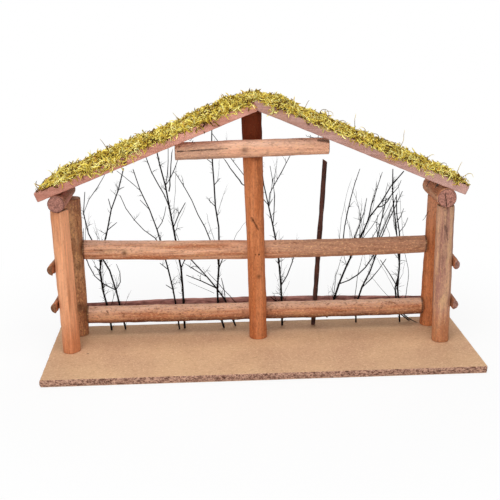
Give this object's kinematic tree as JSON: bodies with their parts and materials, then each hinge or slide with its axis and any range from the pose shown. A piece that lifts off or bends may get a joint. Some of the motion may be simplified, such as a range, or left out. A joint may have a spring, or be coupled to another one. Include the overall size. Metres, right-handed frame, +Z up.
{
  "type": "nativity stable",
  "caption": "Open stable of peeled logs on a thin board, with a moss-covered pitched roof, back rails and a hedge of twigs, to stand crib figures in.",
  "frame": {"origin": "centre of the base board's underside", "axes": "+X to the viewer's right along the ridge's crossing, +Y to the back, +Z up"},
  "size_m": [0.5077, 0.164, 0.3046],
  "materials": {
    "fibreboard": "raw hard fibreboard, matt, with a rough sawn edge",
    "peeled_log": "peeled branch wood, brushed with a red-brown stain, dry and matt",
    "sawn_board": "sawn softwood, thin red-brown stain, matt",
    "bark": "branch wood with its dark bark left on",
    "twig": "dry dark twigs",
    "moss": "dry preserved moss, yellow-green",
    "steel": "plain wire nails and staples"
  },
  "bodies": {
    "root": {"base_board": "fibreboard", "post_front_left": "peeled_log", "post_front_right": "peeled_log", "post_back_left": "peeled_log", "post_back_right": "peeled_log", "centre_post": "peeled_log", "eave_log_left": "peeled_log", "eave_log_right": "peeled_log", "collar_beam": "peeled_log", "upper_rail": "peeled_log", "lower_rail": "peeled_log", "side_rail_left_upper": "peeled_log", "side_rail_left_lower": "peeled_log", "side_rail_right_upper": "peeled_log", "side_rail_right_lower": "peeled_log", "roof_board_left": "sawn_board", "roof_board_right": "sawn_board", "rear_batten": "bark", "bark_stick": "bark", "hedge_twig_1": "twig", "hedge_twig_2": "twig", "hedge_twig_3": "twig", "hedge_twig_4": "twig", "hedge_twig_5": "twig", "hedge_twig_6": "twig", "hedge_twig_7": "twig", "hedge_twig_8": "twig", "hedge_twig_9": "twig", "hedge_twig_10": "twig", "hedge_twig_11": "twig", "moss_left": "moss", "moss_right": "moss", "base_nails": "steel", "eave_nails": "steel", "rail_nails": "steel", "roof_nails": "steel", "batten_nails": "steel", "side_rail_pins": "steel", "staples": "steel"}
  },
  "joints": []
}
